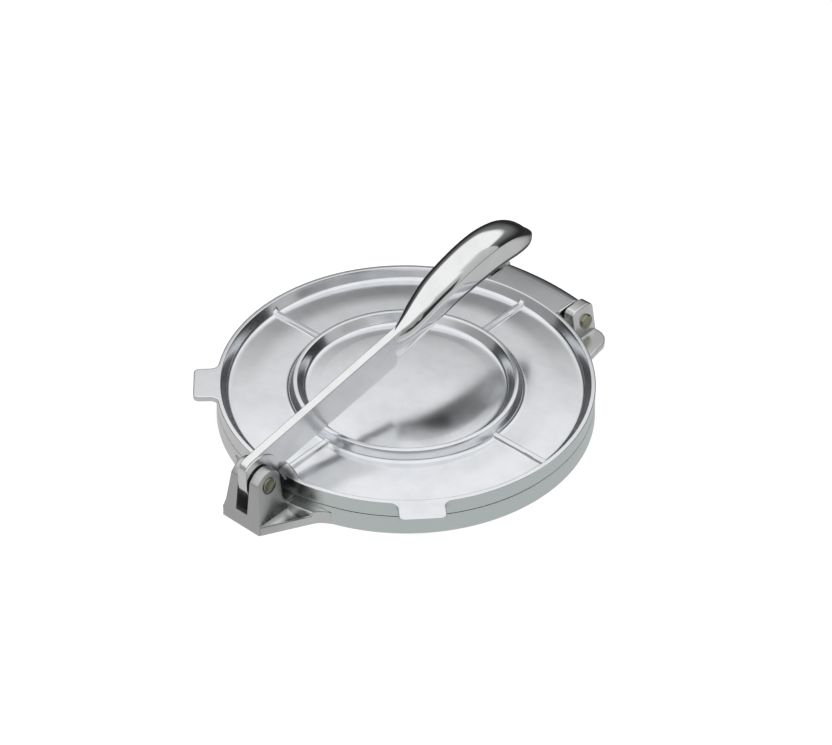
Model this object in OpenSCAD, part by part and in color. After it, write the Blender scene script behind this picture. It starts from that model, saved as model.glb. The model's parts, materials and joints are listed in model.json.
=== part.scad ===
// Cast aluminium tortilla press: two round plates joined by a hinge at the rear,
// and squeezed together by a lever that is pinned in a bracket at the front.
// Millimetres, +Z up, +Y from the lever bracket to the plate hinge, +X to the right.
// The origin is the centre of the footprint, on the table.

/* [Plates] */
// Outer radius of both plates
plate_r = 100; // [96:1:104]
// Height of the lower plate's pressing face
base_h = 10.9; // [10:0.1:11]
// Gap between the closed plates
plate_gap = 0.5; // [0.3:0.1:0.8]
// Height of the upper plate's rim above the table
rim_top = 20.3; // [20:0.1:21]
// Width of the flat land on top of the rim and of the inner ring
land_w = 2.4; // [2:0.1:3]
// Outer radius of the inner ring's land
ring_r = 59.6; // [56:0.2:62]
// Thickness of the upper plate between the rim and the ring
tray_t = 3; // [2:0.1:3.2]
// Thickness of the upper plate inside the ring
centre_t = 3.4; // [3:0.1:4]
// Thickness of the lower plate inside its skirt
base_t = 5; // [4:0.5:6]

/* [Ribs and tabs] */
// Width of a rib at its top
rib_w = 2.6; // [2:0.2:4]
// Height of a rib above the upper plate's outer floor
rib_h = 1.8; // [1.5:0.1:3]
// Angle of each lifting tab from the lever's side of the press
tab_angle = 46; // [44:1:50]
// Width of a lifting tab
tab_w = 24; // [20:1:28]
// Distance from the plate's centre to a tab's straight end
tab_reach = 111.8; // [108:0.2:114]
// Thickness of a lifting tab
tab_t = 3.4; // [3:0.2:5]

/* [Lever bracket] */
// Distance from the plate's centre to the bracket's foot
foot_reach = 125.5; // [124:0.5:128]
// Distance from the plate's centre to the lever's pin
lever_pin_reach = 113.7; // [113:0.1:114.2]
// Height of the lever's pin
lever_pin_z = 24.5; // [24:0.1:25]
// Radius of the lever's pin
lever_pin_r = 4; // [3:0.1:4.5]
// Radius of the round top of each bracket ear
fork_r = 8.2; // [8:0.1:8.6]
// Width of the slot that the lever turns in
fork_slot = 7; // [6.4:0.1:7.4]
// Height of the slot's floor
slot_floor = 8.4; // [8:0.1:9]
// Height of the neck between the ears and the lower plate
neck_h = 9.4; // [9:0.1:10]
// Width of the bracket at the table
foot_w = 26; // [24:0.5:28]
// Width over the ears at their tops
fork_top_w = 18.6; // [18:0.2:20]
// Height of the gusset walls beside the foot
gusset_h = 5; // [4:0.5:6]
// Height of the gussets' ledge along the lower plate
ledge_h = 7.6; // [6:0.2:8]
// Angle of a gusset's outer wall from the X axis
gusset_angle = 61; // [58:0.5:63]
// Radius of the bend where a gusset's wall meets the plate
gusset_bend = 14; // [8:1:20]

/* [Plate hinge] */
// Distance from the plate's centre to the hinge pin
hinge_reach = 110; // [109.8:0.1:110.4]
// Height of the hinge pin
hinge_z = 11.5; // [11.3:0.1:11.7]
// Radius of the hinge pin
hinge_pin_r = 4.5; // [4:0.1:5]
// Width of the upper plate's hinge tongue
tongue_w = 50; // [46:1:52]
// Gap between the tongue and each hinge ear
tongue_gap = 1.2; // [0.8:0.1:1.5]
// Thickness of a hinge ear at its top
ear_t = 6; // [5:0.2:7]
// Height of the hinge ears
ear_top = 21.4; // [20:0.1:21.6]
// Thickness of the flange that carries each hinge ear
flange_t = 4; // [3:0.5:6]
// Distance from the plate's centre to the back of the flange
flange_reach = 117; // [116:0.5:118]

/* [Lever] */
// Thickness of the lever's bar
bar_t = 4.8; // [4:0.2:5]
// Height of the bar's top edge above the table, over the pin
bar_top = 39.6; // [39:0.1:40]
// Height of the bar's lower edge above the table, over the upper plate's pad
bar_low = 23.2; // [23:0.1:23.4]
// Rise of the bar's top edge for each millimetre of length
bar_rise = 0.16; // [0.15:0.005:0.17]
// Radius of the lever's round end about its pin
lever_end_r = 9.6; // [9:0.1:9.7]
// Radius of the thicker hub on the lever's sides
hub_r = 14; // [12:0.5:15]

/* [Hidden] */
$fn = 96;
// How far one solid reaches into another where they join
bite = 1;
far = 400;

// The footprint is centred on the origin, so the plates' centre lies a little behind it
barrel_r = rim_top - hinge_z;
plate_y = (foot_reach - hinge_reach - barrel_r) / 2;

// Fits
run_clear = 0.05;
pad_clear = 0.15;

// Lower plate
base_draft = 0.4;
fork_shoulder_h = 4.1;
neck_fillet = 4;
skirt_t = 4.6;
edge_r = 0.8;
under_rib_w = 3.2;
under_ring_h = 3.6;

gusset_wall = 2.2;
gusset_floor = 1.4;
gusset_ledge = 3;

// Upper plate
top_z = base_h + plate_gap;
tray_z = top_z + tray_t;
centre_z = top_z + centre_t;
rim_slope = 3.4;
ring_slope_out = 2.2;
ring_slope_in = 3.6;
rib_slope = 0.8;

// Tabs
tab_corner = 3;
tab_fillet = 4.5;
tab_bite = 0.4;

// Pad on the rim that the lever bears on
pad_front = 101;
pad_back = 93.6;
pad_top_w = 8;
pad_low_w = 17;
pad_root_w = 19;
pad_low_z = 19;

// Hinge
ear_in = tongue_w / 2 + tongue_gap;
ear_out = ear_in + ear_t;
ear_draft = 1.2;
ear_foot_w = 3.6;
ear_foot_h = 2.4;
ear_front = 100.4;
ear_back = 117.6;
ear_front_r = 3;
ear_back_r = 5;
flange_side = 47.4;
flange_corner = 11;
tongue_t = 7;
hinge_pin_stand = 1.6;
pin_chamfer = 0.8;

// Lever
pin_y = -lever_pin_reach;
bar_end = -10;
bar_crest_end = -2;
bar_low_rise = 0.9 * bar_rise;
heel_r = 6;
countersink_r = 4.9;
countersink_d = 0.7;
// Stations of the grip: distance behind the plates' centre, half width, lower and upper height
grip = [
    [-13, 1.4, 41.0, 54.0],
    [-10, 2.2, 39.4, 55.6],
    [-8, 4.0, 38.8, 56.8],
    [-5, 5.4, 39.4, 58.4],
    [-1, 6.2, 40.9, 60.6],
    [3, 6.9, 42.9, 63.2],
    [8, 7.7, 46.2, 66.3],
    [17, 8.7, 51.8, 70.6],
    [27, 9.5, 55.6, 74.1],
    [38, 10.0, 58.0, 77.3],
    [50, 10.3, 59.8, 80.0],
    [61, 10.4, 60.9, 81.2],
    [71, 10.2, 61.0, 80.5],
    [80, 9.7, 60.5, 78.2],
    [88, 8.4, 59.9, 73.8],
    [94, 6.1, 59.5, 68.2],
    [98.4, 3.3, 59.7, 64.2],
    [100.6, 0.8, 60.5, 61.9],
];
grip_steps = 3;
grip_sides = 28;
// How square the grip's sections are: round over the crowned top and where it starts, and squarer
// along its lower edges further on
square_top = 2.25;
square_start = 2.2;
square_low = 8;
square_from = 2;
square_to = 26;

// Catmull-Rom blend of four neighbouring stations at share t of the middle stretch
function blend4(a, b, c, d, t) =
    0.5 * (2 * b + (c - a) * t + (2 * a - 5 * b + 4 * c - d) * t * t + (3 * b - a - 3 * c + d) * t * t * t);

function station(i) = grip[min(max(i, 0), len(grip) - 1)];

function grip_ring(k) =
    let (i = floor(k / grip_steps), t = k / grip_steps - i)
    blend4(station(i - 1), station(i), station(i + 1), station(i + 2), t);

function smooth_share(v) = let (s = min(max(v, 0), 1)) s * s * (3 - 2 * s);

function low_squareness(y) =
    square_start + (square_low - square_start) * smooth_share((y - square_from) / (square_to - square_from));

function signed_power(v, p) = sign(v) * pow(abs(v), p);

// One section of the grip in the X-Z plane: the upper and lower halves of two superellipses
function grip_section(s) =
    let (mid = (s[2] + s[3]) / 2, half = (s[3] - s[2]) / 2)
    [for (j = [0 : grip_sides - 1])
        let (a = 360 * j / grip_sides + 180 / grip_sides)
        let (p = 2 / (a < 180 ? square_top : low_squareness(s[0])))
        [s[1] * signed_power(cos(a), p), s[0], mid + half * signed_power(sin(a), p)]];

module along_x(length) {
    rotate([90, 0, 90])
        translate([0, 0, -length / 2])
            linear_extrude(length)
                children();
}

module pin_hole(reach, z, radius) {
    translate([0, reach, z])
        rotate([0, 90, 0])
            cylinder(h = far, r = radius, center = true);
}

module base_disc() {
    low_z = base_h - base_t;
    rotate_extrude()
        polygon([
            [0, low_z],
            [ring_r - land_w, low_z],
            [ring_r - land_w, low_z - under_ring_h],
            [ring_r, low_z - under_ring_h],
            [ring_r, low_z],
            [plate_r - skirt_t - 0.8, low_z],
            [plate_r - skirt_t, 0],
            [plate_r + base_draft, 0],
            [plate_r, base_h - edge_r],
            [plate_r - edge_r, base_h],
            [0, base_h],
        ]);
    for (a = [0 : 90 : 270])
        rotate([0, 0, a])
            translate([ring_r - bite, -under_rib_w / 2, low_z - under_ring_h])
                cube([plate_r - skirt_t - ring_r + bite, under_rib_w, under_ring_h + bite]);
}

// The fork's side view: a foot, a neck that reaches the plate, and a round top about the pin
module fork_outline() {
    neck_y = pin_y + fork_r + neck_fillet;
    translate([pin_y, lever_pin_z])
        circle(r = fork_r);
    difference() {
        polygon([
            [-foot_reach, 0],
            [-foot_reach, 1.5],
            [pin_y - fork_r, lever_pin_z + fork_shoulder_h],
            [pin_y, lever_pin_z + fork_shoulder_h],
            [pin_y + fork_r, lever_pin_z],
            [pin_y + fork_r, neck_h + neck_fillet],
            [neck_y, neck_h],
            [-plate_r + bite, neck_h],
            [-plate_r + bite, 0],
        ]);
        translate([neck_y, neck_h + neck_fillet])
            circle(r = neck_fillet);
    }
}

module fork_block() {
    intersection() {
        along_x(foot_w + 2)
            fork_outline();
        rotate([90, 0, 0])
            linear_extrude(far, center = true)
                polygon([
                    [-foot_w / 2, 0],
                    [foot_w / 2, 0],
                    [fork_top_w / 2, lever_pin_z],
                    [fork_top_w / 2, lever_pin_z + fork_r + bite],
                    [-fork_top_w / 2, lever_pin_z + fork_r + bite],
                    [-fork_top_w / 2, lever_pin_z],
                ]);
    }
    translate([0, pin_y, lever_pin_z])
        rotate([0, 90, 0])
            cylinder(h = fork_top_w, r = fork_r, center = true);
}

// Outline of a gusset beside the foot: its wall leaves the foot's corner straight and sweeps round
// into the lower plate's wall. The bend's circle touches both, so its centre is found along the wall.
gusset_start = [foot_w / 2 - 0.2, -foot_reach + 0.1];
gusset_run = [cos(gusset_angle), sin(gusset_angle)];
gusset_out = [sin(gusset_angle), -cos(gusset_angle)];
bend_start = gusset_start + gusset_bend * gusset_out;
bend_along = -bend_start * gusset_run
    - sqrt(pow(bend_start * gusset_run, 2) - bend_start * bend_start + pow(plate_r + base_draft + gusset_bend, 2));
bend_centre = bend_start + bend_along * gusset_run;
bend_meet = bend_centre * (plate_r + base_draft) / norm(bend_centre);

module gusset_outline() {
    difference() {
        polygon([
            gusset_start,
            gusset_start + bend_along * gusset_run,
            bend_centre,
            bend_meet,
            bend_meet * 0.96,
            [0, -plate_r + 4],
            [0, -foot_reach + 1],
        ]);
        translate(bend_centre)
            circle(r = gusset_bend);
    }
}

// The pocket in a gusset leaves its wall, a ledge along the plate and a thin floor
module gusset_pocket() {
    difference() {
        polygon([
            [0, -foot_reach],
            gusset_start - gusset_wall * gusset_out,
            gusset_start - gusset_wall * gusset_out + (bend_along + 3) * gusset_run,
            [0, -plate_r + 4],
        ]);
        circle(r = plate_r + gusset_ledge);
        translate(bend_centre)
            circle(r = gusset_bend + gusset_wall);
    }
}

module gusset() {
    difference() {
        linear_extrude(gusset_h)
            gusset_outline();
        translate([0, 0, gusset_floor])
            linear_extrude(far)
                gusset_pocket();
    }
    intersection() {
        linear_extrude(ledge_h)
            gusset_outline();
        cylinder(h = far, r = plate_r + gusset_ledge);
    }
    intersection() {
        linear_extrude(gusset_h)
            gusset_outline();
        ear_foot();
    }
}

// The sloped foot of a bracket ear, down to the pocket's floor
module ear_foot() {
    rotate([90, 0, 0])
        linear_extrude(foot_reach)
            polygon([
                [0, 0],
                [foot_w / 2 + 3.4, gusset_floor],
                [foot_w / 2 + 1, gusset_floor + 1.2],
                [foot_w / 2 - 1, gusset_floor + 4.5],
                [0, gusset_floor + 4.5],
            ]);
}

module hinge_flange() {
    difference() {
        linear_extrude(flange_t)
            union() {
                polygon([
                    [ear_in, 80],
                    [flange_side + 4, 80],
                    [flange_side, flange_reach - flange_corner],
                    [flange_side - flange_corner, flange_reach],
                    [ear_in, flange_reach],
                ]);
                translate([flange_side - flange_corner, flange_reach - flange_corner])
                    circle(r = flange_corner);
            }
        cylinder(h = far, r = plate_r - skirt_t / 2, center = true);
    }
}

module hinge_ear_outline() {
    translate([ear_front, 0])
        square([ear_back - ear_front, ear_top - ear_back_r]);
    translate([ear_front + ear_front_r, ear_top - ear_back_r - bite])
        square([ear_back - ear_back_r - ear_front - ear_front_r, ear_back_r + bite]);
    translate([ear_front, ear_top - ear_back_r - bite])
        square([ear_front_r * 2, ear_back_r - ear_front_r + bite]);
    translate([ear_front + ear_front_r, ear_top - ear_front_r])
        circle(r = ear_front_r);
    translate([ear_back - ear_back_r, ear_top - ear_back_r])
        circle(r = ear_back_r);
}

module hinge_ear() {
    intersection() {
        along_x(far)
            hinge_ear_outline();
        rotate([90, 0, 0])
            linear_extrude(far, center = true)
                polygon([
                    [ear_in, 0],
                    [ear_out + ear_foot_w, 0],
                    [ear_out + ear_foot_w, flange_t],
                    [ear_out + ear_draft, flange_t + ear_foot_h],
                    [ear_out, ear_top],
                    [ear_in, ear_top],
                ]);
    }
}

module base_plate() {
    color([0.72, 0.74, 0.74])
        translate([0, plate_y, 0])
            difference() {
                union() {
                    base_disc();
                    fork_block();
                    for (side = [0, 1])
                        mirror([side, 0, 0]) {
                            gusset();
                            hinge_flange();
                            hinge_ear();
                        }
                }
                translate([-fork_slot / 2, -foot_reach - bite, slot_floor])
                    cube([fork_slot, foot_reach - plate_r, far]);
                pin_hole(pin_y, lever_pin_z, lever_pin_r);
                for (side = [-1, 1])
                    translate([side * (fork_top_w / 2 + countersink_d), pin_y, lever_pin_z])
                        rotate([0, 90, 0])
                            cylinder(h = 2 * countersink_d, r = countersink_r, center = true);
                pin_hole(hinge_reach, hinge_z, hinge_pin_r);
            }
}

module top_disc() {
    rotate_extrude()
        polygon([
            [0, top_z],
            [plate_r - edge_r, top_z],
            [plate_r, top_z + edge_r],
            [plate_r, rim_top - edge_r],
            [plate_r - edge_r / 2, rim_top],
            [plate_r - land_w, rim_top],
            [plate_r - land_w - rim_slope, tray_z],
            [ring_r + ring_slope_out, tray_z],
            [ring_r, rim_top],
            [ring_r - land_w, rim_top],
            [ring_r - land_w - ring_slope_in, centre_z],
            [0, centre_z],
        ]);
}

module top_ribs() {
    for (a = [0 : 90 : 270])
        rotate([0, 0, a])
            translate([ring_r, 0, tray_z])
                rotate([90, 0, 90])
                    linear_extrude(plate_r - land_w - ring_r)
                        polygon([
                            [-rib_w / 2 - rib_slope, -bite],
                            [rib_w / 2 + rib_slope, -bite],
                            [rib_w / 2, rib_h],
                            [-rib_w / 2, rib_h],
                        ]);
}

// A flat lifting tab with rounded outer corners and a fillet at each root, along -Y
module tab() {
    root = plate_r - land_w / 2;
    half = tab_w / 2;
    bend_y = -sqrt(pow(plate_r - tab_bite + tab_fillet, 2) - pow(half + tab_fillet, 2));
    translate([0, 0, rim_top - tab_t])
        linear_extrude(tab_t)
            difference() {
                union() {
                    translate([-half - tab_fillet, -tab_reach + 2 * tab_corner])
                        square([tab_w + 2 * tab_fillet, tab_reach - 2 * tab_corner - root + 6]);
                    translate([-half, -tab_reach + tab_corner])
                        square([tab_w, 2 * tab_corner]);
                    translate([-half + tab_corner, -tab_reach])
                        square([tab_w - 2 * tab_corner, 2 * tab_corner]);
                    for (side = [-1, 1])
                        translate([side * (half - tab_corner), -tab_reach + tab_corner])
                            circle(r = tab_corner);
                }
                for (side = [-1, 1]) {
                    translate([side * (half + tab_fillet), bend_y])
                        circle(r = tab_fillet);
                    translate([side > 0 ? half : -half - 2 * tab_fillet, bend_y - far])
                        square([2 * tab_fillet, far]);
                }
                circle(r = root);
            }
}

// The thickened pad on the rim that the lever presses on
module lever_pad() {
    intersection() {
        rotate([90, 0, 0])
            linear_extrude(far)
                polygon([
                    [-pad_root_w / 2, tray_z],
                    [pad_root_w / 2, tray_z],
                    [pad_low_w / 2, pad_low_z],
                    [pad_top_w / 2, bar_low],
                    [-pad_top_w / 2, bar_low],
                    [-pad_low_w / 2, pad_low_z],
                ]);
        along_x(far)
            polygon([
                [-pad_front, pad_low_z],
                [-plate_r + land_w, pad_low_z],
                [-pad_back - 1, tray_z],
                [-pad_back + 2.2, tray_z],
                [-pad_back, bar_low_edge(-pad_back) - pad_clear],
                [-pad_front, bar_low_edge(-pad_front) - pad_clear],
            ]);
    }
}

module hinge_tongue() {
    translate([-tongue_w / 2, plate_r - 8, rim_top - tongue_t])
        cube([tongue_w, hinge_reach - plate_r + 8, tongue_t]);
    translate([0, hinge_reach, hinge_z])
        rotate([0, 90, 0])
            cylinder(h = tongue_w, r = barrel_r, center = true);
}

module top_plate() {
    color([0.86, 0.87, 0.88])
        translate([0, plate_y, 0])
            difference() {
                union() {
                    top_disc();
                    intersection() {
                        top_ribs();
                        cylinder(h = far, r = plate_r - land_w - 1);
                    }
                    for (side = [-1, 1])
                        rotate([0, 0, side * tab_angle])
                            tab();
                    lever_pad();
                    difference() {
                        hinge_tongue();
                        cylinder(h = far, r = plate_r - land_w / 2);
                    }
                }
                pin_hole(hinge_reach, hinge_z, hinge_pin_r + run_clear);
            }
}

function bar_top_edge(y) = bar_top + bar_rise * (y - pin_y);

function bar_low_edge(y) = bar_low + bar_low_rise * (y + pad_back);

// The bar's side view: a round end about the pin, a rounded heel above it and two edges that rise
module bar_outline() {
    front = pin_y - lever_end_r;
    heel_y = front + heel_r;
    heel_z = bar_top_edge(heel_y) - heel_r * norm([1, bar_rise]);
    lean = atan(bar_rise);
    translate([pin_y, lever_pin_z])
        circle(r = lever_end_r);
    translate([heel_y, heel_z])
        circle(r = heel_r);
    polygon([
        [front, lever_pin_z],
        [front, heel_z],
        [heel_y, heel_z],
        [heel_y - heel_r * sin(lean), heel_z + heel_r * cos(lean)],
        [bar_crest_end, bar_top_edge(bar_crest_end)],
        [bar_end, bar_low_edge(bar_end)],
        [pin_y + lever_end_r, bar_low_edge(pin_y + lever_end_r)],
        [pin_y, lever_pin_z],
    ]);
}

module grip_solid() {
    rings = (len(grip) - 1) * grip_steps + 1;
    points = [for (k = [0 : rings - 1]) each grip_section(grip_ring(k))];
    sides = grip_sides;
    faces = [
        [for (j = [sides - 1 : -1 : 0]) j],
        for (k = [0 : rings - 2], j = [0 : sides - 1])
            let (a = k * sides + j, b = k * sides + (j + 1) % sides)
            each [[a, b, a + sides], [b, b + sides, a + sides]],
        [for (j = [0 : sides - 1]) (rings - 1) * sides + j],
    ];
    polyhedron(points = points, faces = faces, convexity = 4);
}

module lever() {
    color([0.8, 0.81, 0.82])
        translate([0, plate_y, 0])
            difference() {
                union() {
                    along_x(bar_t)
                        bar_outline();
                    intersection() {
                        along_x(fork_slot - 0.5)
                            bar_outline();
                        pin_hole(pin_y, lever_pin_z, hub_r);
                    }
                    grip_solid();
                }
                pin_hole(pin_y, lever_pin_z, lever_pin_r + run_clear);
            }
}

// A plain round pin with chamfered ends, along X
module round_pin(length, radius) {
    rotate([0, 90, 0])
        rotate_extrude()
            polygon([
                [0, -length / 2],
                [radius - pin_chamfer, -length / 2],
                [radius, -length / 2 + pin_chamfer],
                [radius, length / 2 - pin_chamfer],
                [radius - pin_chamfer, length / 2],
                [0, length / 2],
            ]);
}

module lever_pin() {
    color([0.62, 0.61, 0.55])
        translate([0, plate_y + pin_y, lever_pin_z])
            round_pin(fork_top_w + 1, lever_pin_r);
}

module hinge_pin() {
    color([0.62, 0.61, 0.55])
        translate([0, plate_y + hinge_reach, hinge_z])
            round_pin(2 * (ear_out + ear_draft + hinge_pin_stand), hinge_pin_r);
}

base_plate();
top_plate();
lever();
lever_pin();
hinge_pin();
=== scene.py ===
"""Looks of a cast aluminium tortilla press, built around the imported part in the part's own frame.

Shapes are worked out in millimetres about the plates' centre, +Z up and +Y from the lever's
bracket to the plate hinge, and become metres in the part's frame when a mesh is made.
"""

import json
import logging
import math
from collections.abc import Sequence
from dataclasses import dataclass
from enum import Enum, IntEnum

import bpy
import numpy as np
from mathutils import Matrix
from numpy.typing import ArrayLike


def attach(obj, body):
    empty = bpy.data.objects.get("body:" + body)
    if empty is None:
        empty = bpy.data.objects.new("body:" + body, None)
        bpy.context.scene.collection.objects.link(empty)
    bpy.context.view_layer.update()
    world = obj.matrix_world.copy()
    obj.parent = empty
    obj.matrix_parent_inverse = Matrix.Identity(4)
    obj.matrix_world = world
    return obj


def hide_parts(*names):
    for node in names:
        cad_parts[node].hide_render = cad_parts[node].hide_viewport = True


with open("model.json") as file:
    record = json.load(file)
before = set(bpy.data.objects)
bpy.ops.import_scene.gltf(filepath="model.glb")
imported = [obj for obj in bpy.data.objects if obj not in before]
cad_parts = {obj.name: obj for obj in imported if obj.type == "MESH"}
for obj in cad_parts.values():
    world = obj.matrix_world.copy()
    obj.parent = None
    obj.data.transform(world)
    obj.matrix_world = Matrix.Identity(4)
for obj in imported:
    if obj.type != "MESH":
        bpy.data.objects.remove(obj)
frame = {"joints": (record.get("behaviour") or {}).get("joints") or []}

LOG = logging.getLogger("tortilla_press")
MM = 0.001
Socket = bpy.types.NodeSocket
WHITE = (1.0, 1.0, 1.0, 1.0)
SHARP_ANGLE = math.radians(38)
EDGE_STEPS = 5
ROUND_SIDES = 64
STAIN_LEVEL = 0.93

# The plates' centre in the part's frame, the radii that both plates share, and the pins' places
PLATE_Y = 3.35
PLATE_R = 100.0
RING_R = 59.6
PLACES = {
    joint["name"]: (joint["pos_m"][1] / MM - PLATE_Y, joint["pos_m"][2] / MM) for joint in frame["joints"]
}
PIN_Y, PIN_Z = PLACES["lever_pivot"]
HINGE_Y, HINGE_Z = PLACES["plate_hinge"]


class Axis(Enum):
    """The axis that an outline is carried along, as the place of x, y and z in (u, v, w)."""

    X = (2, 0, 1)
    Z = (0, 1, 2)


class Slot(Enum):
    """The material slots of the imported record."""

    CAST = "cast_aluminium"
    LEVER = "lever_aluminium"
    PIN = "pin_steel"


class Coat(IntEnum):
    """The place of each finish in a plate's list; every shell starts in the first."""

    SATIN = 0
    WALL = 1
    CAST = 2


class Relief(Enum):
    """The kinds of relief on a metal, with the scale of each one's noise."""

    WAVE = 30.0
    GRAIN = 900.0
    SCRATCH = 500.0


@dataclass
class Shell:
    """One closed surface.

    Attributes:
        points: Its points in millimetres about the plates' centre.
        faces: The numbers of each face's points.
        finish: Each face's finish number.
        shade: Painted shade: how bright the finish is at each point, 1 where it is as written;
        None for 1 all over.
    """

    points: np.ndarray
    faces: list[list[int]]
    finish: np.ndarray
    shade: np.ndarray | None = None

    def mirrored(self) -> "Shell":
        """The same surface on the other side of the Y-Z plane, with its faces still outwards."""
        points = self.points * np.array([-1.0, 1.0, 1.0])
        return Shell(points, [face[::-1] for face in self.faces], self.finish, self.shade)


def arc(centre: tuple[float, float], radius: float, start: float, end: float, count: int) -> np.ndarray:
    """Points on a circle: the centre plus the radius times the cosine and sine of each angle.

    Args:
        centre: The circle's centre.
        radius: Its radius.
        start: First angle in degrees.
        end: Last angle in degrees.
        count: Number of points, both ends included.

    Returns:
        An array of count rows (u, v).
    """
    turn = np.radians(np.linspace(start, end, count))
    return np.stack([centre[0] + radius * np.cos(turn), centre[1] + radius * np.sin(turn)], axis=1)


def unit(vectors: np.ndarray) -> np.ndarray:
    """Each row divided by its length."""
    return vectors / np.maximum(np.linalg.norm(vectors, axis=-1, keepdims=True), 1e-12)


def round_corners(corners: ArrayLike, radii: ArrayLike, steps: int = 6, closed: bool = True) -> np.ndarray:
    """Replaces each corner by an arc that touches both its edges.

    With half the corner's angle h, the arc's centre lies on the bisector at radius / sin(h), and
    it touches the edges at radius / tan(h) from the corner.

    Args:
        corners: Rows (u, v) of the corners, in order.
        radii: Radius at each corner, 0 where it stays sharp.
        steps: Points on each arc.
        closed: False for an open path, whose two ends stay as they are.

    Returns:
        The rounded path's points, without doubles.
    """
    corners = np.asarray(corners, float)
    radii = np.asarray(radii, float).copy()
    before, after = np.roll(corners, 1, 0), np.roll(corners, -1, 0)
    if not closed:
        radii[[0, -1]] = 0.0
        before[0], after[-1] = corners[0] * 2 - corners[1], corners[-1] * 2 - corners[-2]
    to_before, to_after = unit(before - corners), unit(after - corners)
    half = np.arccos(np.clip((to_before * to_after).sum(1), -1.0, 1.0)) / 2
    reach = radii / np.maximum(np.tan(half), 1e-6)
    centres = corners + unit(to_before + to_after) * (radii / np.maximum(np.sin(half), 1e-6))[:, None]
    first = corners + to_before * reach[:, None] - centres
    last = corners + to_after * reach[:, None] - centres
    start = np.arctan2(first[:, 1], first[:, 0])
    swing = np.arctan2(last[:, 1], last[:, 0]) - start
    swing = (swing + np.pi) % (2 * np.pi) - np.pi
    turn = start[:, None] + swing[:, None] * np.linspace(0, 1, steps)
    ring = np.stack([np.cos(turn), np.sin(turn)], axis=-1) * radii[:, None, None]
    points = np.where(radii[:, None, None] > 0, centres[:, None] + ring, corners[:, None])
    points = points.reshape(-1, 2)
    keep = np.linalg.norm(points - np.roll(points, 1, 0), axis=1) > 1e-5
    keep[0] = keep[0] or not closed
    return points[keep]


def resample(path: np.ndarray, step: float) -> np.ndarray:
    """Adds points about a step apart along an open path; its own points stay.

    Args:
        path: Rows of the path's points.
        step: How far apart the added points are.

    Returns:
        The path with the added points.
    """
    along = np.concatenate([[0.0], np.cumsum(np.linalg.norm(np.diff(path, axis=0), axis=1))])
    extra = np.arange(0.0, along[-1], step)
    gap = np.abs(extra[:, None] - along[None, :]).min(axis=1)
    places = np.sort(np.concatenate([along, extra[gap > step * 0.3]]))
    return np.stack([np.interp(places, along, path[:, i]) for i in range(path.shape[1])], axis=1)


def inset(outline: np.ndarray, amount: np.ndarray | float) -> np.ndarray:
    """Moves a closed anticlockwise outline inwards along its corners' mitres.

    The mitre of two outward edge normals a and b is (a + b) / (1 + a.b), and it stops growing
    where 1 + a.b falls below 0.4.

    Args:
        outline: Rows (u, v) of its points.
        amount: How far its edges move in, one number or one for each point.

    Returns:
        The moved outline, point for point.
    """
    edges = unit(np.roll(outline, -1, 0) - outline)
    normal = np.stack([edges[:, 1], -edges[:, 0]], axis=1)
    other = np.roll(normal, 1, 0)
    mitre = (normal + other) / np.maximum(1 + (normal * other).sum(1, keepdims=True), 0.4)
    return outline - mitre * np.reshape(amount, (-1, 1))


def smooth_max(a: np.ndarray, b: np.ndarray, width: float) -> np.ndarray:
    """The larger of two heights, with a fillet where they are within width of each other.

    The fillet adds (width - |a - b|) squared / (4 width) to the larger height.

    Args:
        a: One height.
        b: The other.
        width: The difference up to which they blend.

    Returns:
        The blended heights.
    """
    share = np.clip(width - np.abs(a - b), 0.0, None)
    return np.maximum(a, b) + share**2 / (4 * width)


def ease(share: np.ndarray) -> np.ndarray:
    """A smooth step: 3 s^2 - 2 s^3 of a share s that is held between 0 and 1."""
    share = np.clip(share, 0.0, 1.0)
    return share * share * (3 - 2 * share)


def loft(rings: np.ndarray) -> Shell:
    """Joins rings of points into one closed surface, with a cap on the first and the last ring.

    Args:
        rings: Array (rings, points, 3), anticlockwise when seen from the last ring's side.

    Returns:
        The closed shell, with its faces outwards.
    """
    count, sides = rings.shape[:2]
    ring, side = np.meshgrid(np.arange(count - 1), np.arange(sides), indexing="ij")
    after = (side + 1) % sides
    quads = np.stack(
        [ring * sides + side, ring * sides + after, (ring + 1) * sides + after, (ring + 1) * sides + side],
        axis=-1,
    ).reshape(-1, 4)
    faces = quads.tolist()
    faces.append(list(range(sides - 1, -1, -1)))
    faces.append(list(range((count - 1) * sides, count * sides)))
    return Shell(rings.reshape(-1, 3), faces, np.zeros(len(faces), int))


def edge_stations(low: float, high: float, edge: float) -> np.ndarray:
    """Stations of a block with both rims rounded by a quarter circle.

    At angle a the quarter circle is (edge (1 - sin a), edge (1 - cos a)). A row further in at each
    end and two in the middle keep the flat faces flat in the shading.

    Args:
        low: Height of the lower face.
        high: Height of the upper face.
        edge: Radius of the rims.

    Returns:
        Rows (inset, height) from the lower face to the upper one.
    """
    turn = np.radians(np.linspace(0, 90, EDGE_STEPS))
    curve = edge * np.stack([1 - np.sin(turn), 1 - np.cos(turn)], axis=1)
    lower = np.vstack([[2.2 * edge, 0.0], curve])
    upper = lower[::-1] * [1.0, -1.0]
    middle = [[0.0, low + 2 * edge], [0.0, high - 2 * edge]]
    return np.vstack([lower + [0.0, low], middle, upper + [0.0, high]])


def prism(outline: np.ndarray, stations: np.ndarray, axis: Axis) -> Shell:
    """Carries an outline along an axis, drawn in by each station's inset at its height."""
    rings = [np.column_stack([inset(outline, row[0]), np.full(len(outline), row[1])]) for row in stations]
    return loft(np.stack(rings)[:, :, list(axis.value)])


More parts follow.
